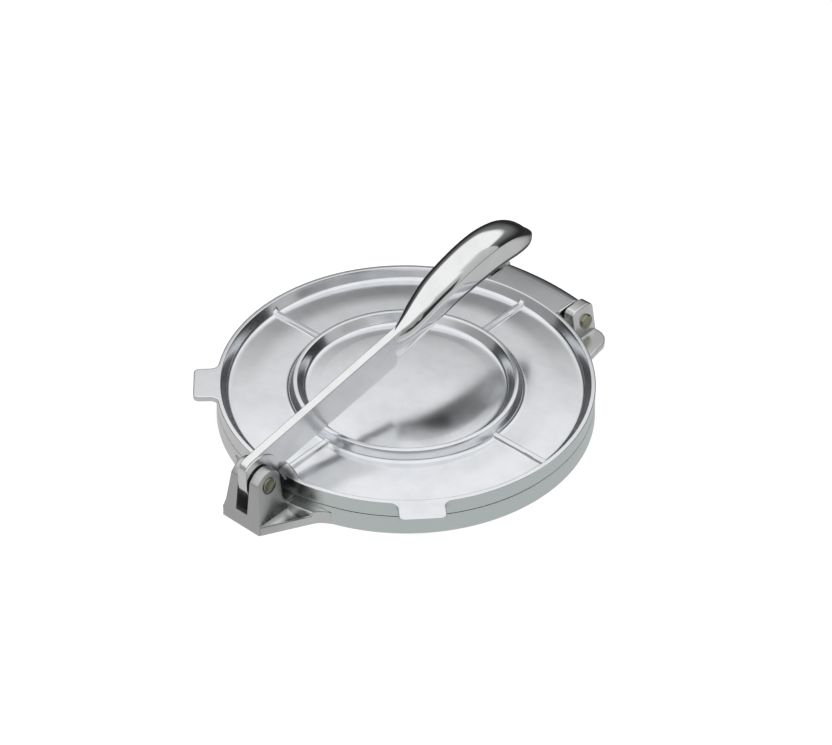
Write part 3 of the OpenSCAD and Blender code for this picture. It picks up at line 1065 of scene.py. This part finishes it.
    def fork(self) -> Shell:
        """The bracket: its side outline carried across, leaning sides, less the slot and the recesses.

        Returns:
            The bracket's shell.
        """
        rear = self.pin_y + self.fork_r
        neck = (rear + self.neck_fillet, self.neck_z + self.neck_fillet)
        shoulder = self.pin_z + self.fork_r / 2 - 0.5
        outline = np.vstack([
            [[self.foot_y, 0.0], [self.fork_rear, 0.0], [self.fork_rear, self.neck_z]],
            arc(neck, self.neck_fillet, 270, 180, 9),
            arc((self.pin_y, self.pin_z), self.fork_r, 0, 136, 26),
            round_corners(
                [self.fork_face, [self.fork_bend_y, shoulder], [self.foot_y, 1.5], [self.foot_y, 0.8]],
                [0, 1.6, 1.0, 0], closed=False,
            )[1:],
        ])
        stations = edge_stations(-1.0, 1.0, 0.5)
        scale = self.fork_edge / 0.5
        stations[:, 0] *= scale
        stations[:, 1] = np.sign(stations[:, 1]) * (1 - (1 - np.abs(stations[:, 1])) * scale / 10)
        rings = []
        for amount, share in stations:
            drawn = inset(outline, amount)
            drawn[:, 1] = np.where(outline[:, 1] <= 0.01, 0.0, drawn[:, 1])
            rings.append(np.column_stack([self.bracket_half(drawn[:, 1]) * share, drawn]))
        block = loft(np.stack(rings))
        ahead, behind, above = self.foot_y - 5.0, self.fork_rear + 1.0, 60.0
        slot = [[ahead, self.slot_z], [behind, self.slot_z], [behind, above], [ahead, above]]
        cutters = [prism(np.array(slot), np.array([[0, -self.slot_half], [0, self.slot_half]]), Axis.X)]
        floor, rim, edge = self.pin_half - self.recess, self.pin_half + 1.0, self.recess_r
        for side in (-1, 1):
            profile = np.array([[edge - 0.3, floor], [edge, floor + 0.3], [edge, rim]])
            profile = profile[::side] * [1, side]
            cutters.append(lathe(profile, Axis.X, (0.0, self.pin_y, self.pin_z)))
        return carve(block, cutters)

    def gusset_reach(self, ray: np.ndarray) -> tuple[np.ndarray, np.ndarray]:
        """Where rays from the plate's centre leave a gusset's outline, and the cosine to its wall.

        A ray e meets the straight wall where e.n = a.n, with n the direction out of it, and the
        bend's circle (c, r) at e.c - sqrt((e.c)^2 - c.c + r^2).

        Args:
            ray: Rows (x, y) of the rays' directions.

        Returns:
            Each ray's length, and the cosine between it and the outline's normal.
        """
        start, along, out, run = self.wall_bend()
        centre = start + self.gusset_bend * out + run * along
        straight = (start @ out) / (ray @ out)
        toward = ray @ centre
        bent = toward - np.sqrt(np.clip(toward**2 - centre @ centre + self.gusset_bend**2, 0, None))
        on_wall = straight * (ray @ along) < (start + run * along) @ along
        front = (self.foot_y + 0.9) / ray[:, 1]
        reach = np.where(on_wall, np.minimum(straight, front), bent)
        normal_wall = np.broadcast_to(out, ray.shape)
        normal_bend = (centre - ray * bent[:, None]) / self.gusset_bend
        cosine = np.where(on_wall, (ray * normal_wall).sum(1), (ray * normal_bend).sum(1))
        return reach, np.clip(np.abs(cosine), 0.15, 1.0)

    def gusset_height(self, x: np.ndarray, radius: np.ndarray, depth: np.ndarray) -> np.ndarray:
        """Height of the gusset: the greatest, with fillets, of its floor, wall, ledge and cove.

        Args:
            x: Distance of each point from the middle plane.
            radius: Distance from the plate's centre.
            depth: Distance in from the outline.

        Returns:
            The heights.
        """
        floor = np.full(x.shape, self.gusset_floor)
        thick, top = self.gusset_wall, self.gusset_z
        wall = np.interp(depth, [0, thick, thick + 0.7], [top, top, 0.0])
        ledge = np.interp(radius, [self.ledge_r - 0.3, self.ledge_r, self.ledge_r + 0.5],
                          [self.ledge_z, self.ledge_z - 0.3, -2.0])
        size = self.gusset_cove
        run = np.clip(x - self.foot_half + 2.0, 0.0, size)
        cove = self.gusset_floor + size - np.sqrt(size**2 - (size - run) ** 2)
        return smooth_max(smooth_max(floor, wall, 0.35), smooth_max(ledge, cove, 0.5), 0.35)

    def gusset(self) -> Shell:
        """The right gusset: a height over rays and shares of the way in from its outline.

        Returns:
            The gusset's shell, with painted shade on its pocket's far end.
        """
        inner = self.radius - 3.0
        angles = np.radians(np.linspace(*self.gusset_rays, 150))
        ray = np.column_stack([np.cos(angles), np.sin(angles)])
        reach, cosine = self.gusset_reach(ray)
        reach = np.maximum(reach, inner + 1.0)
        share = np.concatenate([np.linspace(0, 0.25, 40), np.linspace(0.25, 1, 60)[1:]])
        radius = reach - share[:, None] * (reach - inner)
        x, y = radius * ray[:, 0], radius * ray[:, 1]
        height = self.gusset_height(x, radius, (reach - radius) * cosine)
        rim = np.stack([x[0], y[0]], axis=1)
        levels = [np.column_stack([rim, np.full(len(rim), z)]) for z in (0.0, 0.7)]
        levels.append(np.column_stack([rim, height[0] - 0.3]))
        drawn = rim - ray * (0.08 / cosine)[:, None]
        levels.append(np.column_stack([drawn, height[0] - 0.08]))
        top = np.stack([x, y, height], axis=2)
        top[0, :, :2] = rim - ray * (0.3 / cosine)[:, None]
        bottom = np.stack([x[-1], y[-1], np.zeros(len(rim))], axis=1)
        made = strip(np.concatenate([np.stack(levels), top, bottom[None]]))
        # Painted shade: the pocket's floor darkens towards its far end
        low = np.clip(1.3 - (height - self.gusset_floor) / self.pocket_rise, 0, 1)
        pocket = low * np.clip((x - self.pocket_x) / self.pocket_run, 0, 1)
        shade = 1 - (1 - self.pocket_level) * pocket
        made.shade = np.pad(shade, ((len(levels), 1), (0, 0)), constant_values=1.0).T[::-1].ravel()
        return made

    def hinge_side(self) -> list[Shell]:
        """The right hinge flange and ear, as rounded prisms.

        The ear is upright inside; its outer side has a fillet on the flange and leans in above it.

        Returns:
            The flange and the ear.
        """
        plan = round_corners(self.flange_plan, self.flange_radii, steps=12)
        flange = prism(plan, edge_stations(0.0, self.flange_z, 0.6), Axis.Z)
        front, rear = self.ear_y
        low = self.ear_foot
        side = round_corners(
            [[front, low], [rear, low], [rear, self.ear_top], [front, self.ear_top]],
            self.ear_radii, steps=10,
        )
        stations = edge_stations(0.0, 1.0, 0.1)
        stations[:, 0] *= 6.0
        stations[:, 1] = np.where(stations[:, 1] < 0.5, stations[:, 1] * 0.3, stations[:, 1])
        side_z, side_x = np.array([*self.ear_side, (self.ear_top, self.ear_out)]).T
        rings = []
        for amount, share in stations:
            drawn = inset(side, amount if share > 0.5 else amount * 0.3)
            out = np.interp(drawn[:, 1], side_z, side_x)
            rings.append(np.column_stack([self.ear_in + share * (out - self.ear_in), drawn]))
        return [flange, loft(np.stack(rings))]

    def build(self, satin: bpy.types.Material, wall: bpy.types.Material,
              cast: bpy.types.Material) -> bpy.types.Object:
        """Builds the dressed lower plate.

        Args:
            satin: Finish of the disc's machined face and underside.
            wall: Finish of its outer wall.
            cast: Finish of the bracket, gussets, flanges and ears.

        Returns:
            The piece, which stands for the CAD node base_plate.
        """
        side = [self.gusset(), *self.hinge_side()]
        rough = [self.fork(), *side, *[shell.mirrored() for shell in side]]
        for shell in rough:
            shell.finish[:] = Coat.CAST
        return build_object("base_casting", [self.disc(), *rough], [satin, wall, cast])


@dataclass
class Lever:
    """The lever: a flat bar with a thicker hub about its pin, and a long rounded grip."""

    pin_y: float = PIN_Y
    pin_z: float = PIN_Z
    end_r: float = 9.6
    heel_r: float = 6.0
    top_z: float = 39.6
    rise: float = 0.16
    low_z: float = 23.2
    low_y: float = -93.6
    low_rise: float = 0.144
    bar_end: float = -10.0
    bar_half: float = 2.4
    hub_half: float = 2.9
    hub_r: float = 14.0
    edge: float = 0.55
    stations: tuple[tuple[float, float, float, float], ...] = (
        (-14, 1.6, 40.6, 53.6),
        (-11, 2.4, 39.4, 55.2),
        (-8, 3.4, 38.7, 56.8),
        (-5, 4.6, 39.4, 58.4),
        (-1, 5.8, 40.9, 60.6),
        (3, 6.7, 42.9, 63.2),
        (8, 7.6, 46.2, 66.3),
        (17, 8.7, 51.8, 70.6),
        (27, 9.5, 55.6, 74.1),
        (38, 10.0, 58.0, 77.3),
        (50, 10.3, 59.8, 80.0),
        (61, 10.4, 60.9, 81.1),
        (71, 10.2, 61.0, 80.4),
        (80, 9.7, 60.5, 78.1),
        (88, 8.4, 59.9, 73.8),
        (94, 6.1, 59.5, 68.2),
        (98.4, 3.3, 59.7, 64.2),
        (100.5, 0.8, 60.5, 61.9),
    )
    square_top: float = 2.25
    square_crest: float = 1.9
    square_start: float = 2.6
    square_low: float = 9.0
    square_from: float = 2.0
    square_to: float = 26.0
    crest_end: float = -2.0
    line_y: float = 10.0
    line_wide_y: float = 72.0
    line_run: float = 18.0
    line_wide_run: float = 28.0
    line_from: float = 0.60
    line_widen: float = 0.40
    line_soft: float = 0.10
    line_side: float = 0.80
    line_side_soft: float = 0.08
    line_level: float = 0.10
    grip_rings: int = 241
    grip_sides: int = 120

    def grip_curve(self) -> np.ndarray:
        """Smooth cubic curves through the grip's stations.

        Between stations b and c, with a before and d after, the curve at share t is half of
        2b + (c - a) t + (2a - 5b + 4c - d) t^2 + (3b - a - 3c + d) t^3.

        Returns:
            An array of rows (y, half width, low, high).
        """
        rows = np.array(self.stations)
        place = np.linspace(0, len(rows) - 1, self.grip_rings)
        index = np.minimum(place.astype(int), len(rows) - 2)
        t = (place - index)[:, None]
        a, b, c, d = (rows[np.clip(index + k, 0, len(rows) - 1)] for k in (-1, 0, 1, 2))
        square, cubic = (2 * a - 5 * b + 4 * c - d) * t**2, (3 * b - a - 3 * c + d) * t**3
        return 0.5 * (2 * b + (c - a) * t + square + cubic)

    def top_edge(self, y: float) -> float:
        """Height of the bar's upper edge."""
        return self.top_z + self.rise * (y - self.pin_y)

    def low_edge(self, y: float) -> float:
        """Height of the bar's lower edge."""
        return self.low_z + self.low_rise * (y - self.low_y)

    def meet(self, height: float, slope: float, radius: float) -> np.ndarray:
        """The further point where the line z = height + slope (y - pin y) cuts a circle about the pin.

        Args:
            height: The line's height at the pin.
            slope: Its rise for each unit of y.
            radius: The circle's radius.

        Returns:
            The point (y, z).
        """
        rise = height - self.pin_z
        a, b, c = 1 + slope**2, 2 * slope * rise, rise**2 - radius**2
        y = (-b + math.sqrt(b * b - 4 * a * c)) / (2 * a)
        return np.array([self.pin_y + y, height + slope * y])

    def end(self) -> np.ndarray:
        """The bar's rounded heel and its round end about the pin, from the top edge to the lower one.

        Returns:
            Rows (y, z).
        """
        lean = math.degrees(math.atan(self.rise))
        heel_y = self.pin_y - self.end_r + self.heel_r
        heel_z = self.top_edge(heel_y) - self.heel_r * math.hypot(1, self.rise)
        low = self.meet(self.low_edge(self.pin_y), self.low_rise, self.end_r)
        last = math.degrees(math.atan2(low[1] - self.pin_z, low[0] - self.pin_y))
        return np.vstack([
            arc((heel_y, heel_z), self.heel_r, 90 + lean, 180, 12),
            arc((self.pin_y, self.pin_z), self.end_r, 180, 360 + last, 40),
        ])

    def outline(self) -> np.ndarray:
        """The bar's side outline, from its heel round its end and along its lower edge to the grip."""
        back = [[self.bar_end, self.low_edge(self.bar_end)], [self.crest_end, self.top_edge(self.crest_end)]]
        return np.vstack([self.end(), back])

    def bar(self) -> Shell:
        """The flat bar: its side outline carried across its thickness."""
        return prism(self.outline(), edge_stations(-self.bar_half, self.bar_half, self.edge), Axis.X)

    def hub(self) -> Shell:
        """The thicker hub: the bar's own outline where it is nearer to the pin than the hub's radius.

        Returns:
            The hub's shell.
        """
        outline = resample(self.outline(), 0.4) - [self.pin_y, self.pin_z]
        around, reach = np.arctan2(outline[:, 1], outline[:, 0]), np.linalg.norm(outline, axis=1)
        turn = np.linspace(-np.pi, np.pi, 181)[:-1]
        radius = np.minimum(self.hub_r, np.interp(turn, around, reach, period=2 * np.pi))
        plan = np.column_stack([np.cos(turn), np.sin(turn)]) * radius[:, None] + [self.pin_y, self.pin_z]
        return prism(plan, edge_stations(-self.hub_half, self.hub_half, 0.4), Axis.X)

    def grip(self) -> Shell:
        """The grip: superellipses carried along the curve through the stations.

        A section's point at angle a is (w sgn(cos a) |cos a|^p, m + h sgn(sin a) |sin a|^p), with
        p = 2 / n; n is low over the crowned top and rises along the lower half behind its start.

        Returns:
            The grip's shell, with a painted dark line along its lower edges.
        """
        y, half, low, high = self.grip_curve().T[:, :, None]
        square = ease((y - self.square_from) / (self.square_to - self.square_from))
        turn = 2 * np.pi * (np.arange(self.grip_sides) + 0.5) / self.grip_sides
        below = self.square_start + (self.square_low - self.square_start) * square
        above = self.square_crest + (self.square_top - self.square_crest) * square
        power = 2 / np.where(np.sin(turn) > 0, above, below)
        side = np.abs(np.cos(turn)) ** power
        height = np.sign(np.sin(turn)) * np.abs(np.sin(turn)) ** power
        x = half * np.sign(np.cos(turn)) * side
        z = (low + high) / 2 + (high - low) / 2 * height
        made = loft(np.stack([x, np.broadcast_to(y, x.shape), z], axis=2)[:, ::-1])
        made.shade = self.painted_edge_shade(y, side, height)[:, ::-1].ravel()
        return made

    def painted_edge_shade(self, y: np.ndarray, side: np.ndarray, height: np.ndarray) -> np.ndarray:
        """Painted dark reflection along the grip's lower edges, in a line that widens at the tip.

        Args:
            y: Each ring's place.
            side: Each point's distance from the middle plane, from 0 to 1 at the widest.
            height: Each point's height in its ring, from -1 at the bottom to 1 at the top.

        Returns:
            A factor for each point, 1 away from the line.
        """
        wide = np.clip((y - self.line_wide_y) / self.line_wide_run, 0, 1)
        start = self.line_from - self.line_widen * wide**2
        below = np.clip((-height - start) / self.line_soft, 0, 1)
        along = np.clip((y - self.line_y) / self.line_run, 0, 1)
        beside = np.clip((side - self.line_side) / self.line_side_soft, 0, 1)
        return 1 - (1 - self.line_level) * ease(below * along * beside)

    def build(self, finish: bpy.types.Material) -> bpy.types.Object:
        """Builds the dressed lever.

        Args:
            finish: Its finish, satin on the bar and polished on the grip.

        Returns:
            The piece, which stands for the CAD node lever.
        """
        return build_object("lever_casting", [self.bar(), self.hub(), self.grip()], [finish])


@dataclass
class Pin:
    """A plain round pin along X with rounded rims and a shallow dimple in each end."""

    name: str
    y: float
    z: float
    radius: float
    half: float
    chamfer: float = 0.8
    dimple: float = 0.35

    def build(self, steel: bpy.types.Material) -> bpy.types.Object:
        """Builds the pin from one profile turned about its axis.

        Args:
            steel: Its finish.

        Returns:
            The piece.
        """
        edge, rim, half = self.radius, self.chamfer, self.half
        end = round_corners(
            [[0.1, half - self.dimple], [edge * 0.45, half - self.dimple * 0.8], [edge - rim * 1.3, half],
             [edge - rim * 0.4, half - 0.1], [edge, half - rim], [edge, 0.0]],
            [0, 0.8, 0.3, 0.4, 0.4, 0], closed=False,
        )
        profile = np.vstack([end * [1, -1], end[::-1][1:]])
        return build_object(self.name, [lathe(profile, Axis.X, (0.0, self.y, self.z))], [steel])


@dataclass(frozen=True)
class Card:
    """A card that only reflections show: a patch of a sphere round the object.

    Attributes:
        name: The card's name.
        radius: Its distance in metres.
        azimuth: Its first and last azimuth in degrees; 0 is on the lever's side and 90 on the right.
        levels: Pairs of an elevation in degrees and how bright the card is there, from the bottom up.
    """

    name: str
    radius: float
    azimuth: tuple[float, float]
    levels: tuple[tuple[float, float], ...]

    def build(self) -> None:
        """Makes the patch: radius times (sin a cos e, -cos a cos e, sin e) on a grid of angles."""
        heights, bright = np.array(self.levels).T
        around, up = np.meshgrid(
            np.radians(np.linspace(*self.azimuth, 49)),
            np.radians(np.linspace(heights[0], heights[-1], 25)), indexing="ij",
        )
        points = np.stack([np.sin(around) * np.cos(up), -np.cos(around) * np.cos(up), np.sin(up)], -1)
        index = np.arange(points[..., 0].size).reshape(around.shape)
        faces = np.stack([index[:-1, :-1], index[1:, :-1], index[1:, 1:], index[:-1, 1:]], -1).reshape(-1, 4)
        material, sheet = new_material(self.name)
        sheet.show(sheet.feed("Emission", {"Strength": sheet.attribute("level")}, Color=WHITE))
        made = stage_sheet(self.name, self.radius * points.reshape(-1, 3), faces, material)
        level = made.data.attributes.new("level", "FLOAT", "POINT")
        level.data.foreach_set("value", np.interp(np.degrees(up), heights, bright).ravel())
        only_reflections(made)


def stage_sheet(
    name: str, points: np.ndarray, faces: np.ndarray, material: bpy.types.Material
) -> bpy.types.Object:
    """Makes a surface of points and faces with one finish.

    Args:
        name: Its name.
        points: Rows (x, y, z) of its points in metres.
        faces: Rows of the points' numbers in each face.
        material: Its finish.

    Returns:
        The surface.
    """
    mesh = bpy.data.meshes.new(name)
    mesh.from_pydata(points.tolist(), [], faces.tolist())
    mesh.materials.append(material)
    made = stand(name, mesh)
    return made


def only_reflections(made: bpy.types.Object) -> None:
    """Hides a card from every ray but the glossy ones."""
    for kind in ("camera", "diffuse", "shadow", "transmission"):
        setattr(made, f"visible_{kind}", False)


@dataclass
class Studio:
    """A white floor, soft light and the camera at the photograph's angle."""

    azimuth: float = 41.2
    elevation: float = 38.66
    distance: float = 1450.0
    shift_right: float = -5.26
    shift_up: float = -18.55
    roll: float = 0.34
    focal_px: float = 2728.175
    width_px: float = 832.0
    sensor: float = 36.0
    clip: tuple[float, float] = (0.05, 50.0)
    fill: float = 0.6
    lamp_side: float = 1.2
    lamp_power: float = 9.0
    lamp_place: tuple[float, float, float] = (-0.2, -0.1, 1.6)
    floor_half: float = 6.0
    floor_z: float = -0.0002
    floor_glow: float = 0.84
    catch: float = 0.35
    table: float = 0.55
    table_z: float = -0.0001
    table_dark: float = 0.03
    table_ahead: tuple[float, float, float] = (0.66, -0.75, 0.0)
    table_near: tuple[float, float] = (-0.20, -0.07)
    table_far: tuple[float, float] = (0.9, 0.45)
    card_set: tuple[Card, ...] = (
        Card("card_back", 0.95, (132.0, 300.0), (
            (0, 0.02), (10, 0.03), (20, 0.10), (27, 0.16), (34, 0.21),
            (37, 0.64), (39, 0.91), (42, 1.0), (46, 1.0),
        )),
        Card("card_right", 1.0, (84.0, 112.0), ((0, 0.03), (16, 0.03), (20, 0.43), (36, 0.6), (44, 1.0))),
        Card("card_gap", 1.05, (112.0, 132.0), ((0, 0.52), (20, 0.55), (44, 0.60), (60, 1.0))),
        Card("card_front", 1.1, (-60.0, 84.0), ((0, 0.30), (24, 0.36), (33, 1.0))),
    )

    def camera(self) -> None:
        """Places the camera from its azimuth, elevation, distance, offsets and roll."""
        a, e = math.radians(self.azimuth), math.radians(self.elevation)
        back = np.array([math.sin(a) * math.cos(e), -math.cos(a) * math.cos(e), math.sin(e)])
        right = np.array([math.cos(a), math.sin(a), 0.0])
        up = np.cross(back, right)
        place = -right * self.shift_right - up * self.shift_up + back * self.distance
        place = (place + [0.0, PLATE_Y, 0.0]) * MM
        turn = math.radians(self.roll)
        side = right * math.cos(turn) + up * math.sin(turn)
        above = -right * math.sin(turn) + up * math.cos(turn)
        data = bpy.data.cameras.new("camera")
        data.sensor_width = self.sensor
        data.lens = self.focal_px / self.width_px * self.sensor
        data.clip_start, data.clip_end = self.clip
        made = stand("camera", data)
        made.matrix_world = Matrix([*np.column_stack([side, above, back, place]).tolist(), [0, 0, 0, 1]])
        bpy.context.scene.camera = made

    def world(self) -> None:
        """White to the camera and in reflections; a plain grey light for everything else."""
        world = bpy.data.worlds.new("studio")
        bpy.context.scene.world = world
        world.use_nodes = True
        sheet = NodeSheet(world.node_tree, "OutputWorld")
        soft = sheet.add("Background", Color=WHITE, Strength=self.fill).outputs["Background"]
        white = sheet.add("Background", Color=WHITE, Strength=1.0).outputs["Background"]
        sheet.show(sheet.choose(self.shows_white(sheet), soft, white))

    def shows_white(self, sheet: NodeSheet) -> Socket:
        """1 on camera, glossy and transmission rays, 0 on the others.

        Args:
            sheet: The nodes of the floor or the world.

        Returns:
            The share.
        """
        rays = sheet.add("LightPath").outputs
        seen = sheet.feed("Math", {0: rays["Is Camera Ray"], 1: rays["Is Glossy Ray"]}, operation="MAXIMUM")
        return sheet.feed("Math", {0: seen, 1: rays["Is Transmission Ray"]}, operation="MAXIMUM")

    def floor(self) -> None:
        """A white floor that keeps a faint shadow, white in reflections too and grey to other rays."""
        material, sheet = new_material("floor_white")
        catch = sheet.add("BsdfDiffuse", Color=(self.catch, self.catch, self.catch, 1.0)).outputs["BSDF"]
        seen = sheet.feed("AddShader", {0: catch, 1: sheet.glow(self.floor_glow)})
        sheet.show(sheet.choose(self.shows_white(sheet), sheet.glow(self.table), seen))
        self.ground("floor", self.floor_z, material)

    def table_card(self) -> None:
        """A grey sheet on the floor that only reflections show, dark behind the object and far away."""
        material, sheet = new_material("table_card")
        place = sheet.add("TexCoord").outputs["Object"]
        near = sheet.ramp(sheet.measure("DOT_PRODUCT", place, self.table_ahead), *self.table_near)
        far = sheet.ramp(sheet.measure("LENGTH", place), *self.table_far)
        lit = sheet.feed("Math", {0: near, 1: far}, operation="MULTIPLY")
        sheet.show(sheet.choose(lit, sheet.glow(self.table_dark), sheet.glow(self.table)))
        only_reflections(self.ground("table_card", self.table_z, material))

    def ground(self, name: str, height: float, material: bpy.types.Material) -> bpy.types.Object:
        """Lays a square sheet under the object.

        Args:
            name: Its name.
            height: Its height in metres.
            material: Its finish.

        Returns:
            The sheet.
        """
        half = self.floor_half
        corners = [(-half, -half, height), (half, -half, height), (half, half, height), (-half, half, height)]
        return stage_sheet(name, np.array(corners), np.arange(4)[None], material)

    def cards(self) -> None:
        """Stands the dark and grey cards round the object that the polished metal reflects."""
        for card in self.card_set:
            card.build()

    def lamp(self) -> None:
        """One large soft lamp overhead."""
        data = bpy.data.lights.new("softbox", "AREA")
        data.shape, data.size, data.size_y = "RECTANGLE", self.lamp_side, self.lamp_side
        data.energy = self.lamp_power
        made = stand("softbox", data)
        made.matrix_world = Matrix.Translation(self.lamp_place)
        made.visible_glossy = False


def settle(piece: bpy.types.Object, body: str, node: str) -> None:
    """Rides a piece on its CAD body, lets it stand for its node, and reports it.

    Args:
        piece: The dressed piece.
        body: The CAD body that carries it.
        node: The CAD node that it stands for.
    """
    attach(piece, body)
    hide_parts(node)
    LOG.info("%s: %d faces, stands for %s on body %s", piece.name, len(piece.data.polygons), node, body)


def main() -> None:
    """Builds the studio and every piece in order."""
    logging.basicConfig(level=logging.INFO, format="%(message)s")
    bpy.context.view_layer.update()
    bpy.context.scene.view_settings.view_transform = "Standard"
    studio = Studio()
    studio.camera()
    studio.world()
    studio.floor()
    studio.table_card()
    studio.cards()
    studio.lamp()
    satin, wall, cast = PLATE_SATIN.material(), PLATE_WALL.material(), BRACKET_CAST.material()
    bar, steel = LEVER_CAST.material(), PIN_STEEL.material()
    settle(BasePlate().build(satin, wall, cast), "base", "base_plate")
    settle(TopPlate().build(satin, wall), "top", "top_plate")
    settle(Lever().build(bar), "lever", "lever")
    lever_pin = Pin("lever_pin_steel", PIN_Y, PIN_Z, radius=4.0, half=9.8)
    hinge_pin = Pin("hinge_pin_steel", HINGE_Y, HINGE_Z, radius=4.5, half=35.0)
    settle(lever_pin.build(steel), "base", "lever_pin")
    settle(hinge_pin.build(steel), "base", "hinge_pin")


if __name__ == "__main__":
    main()
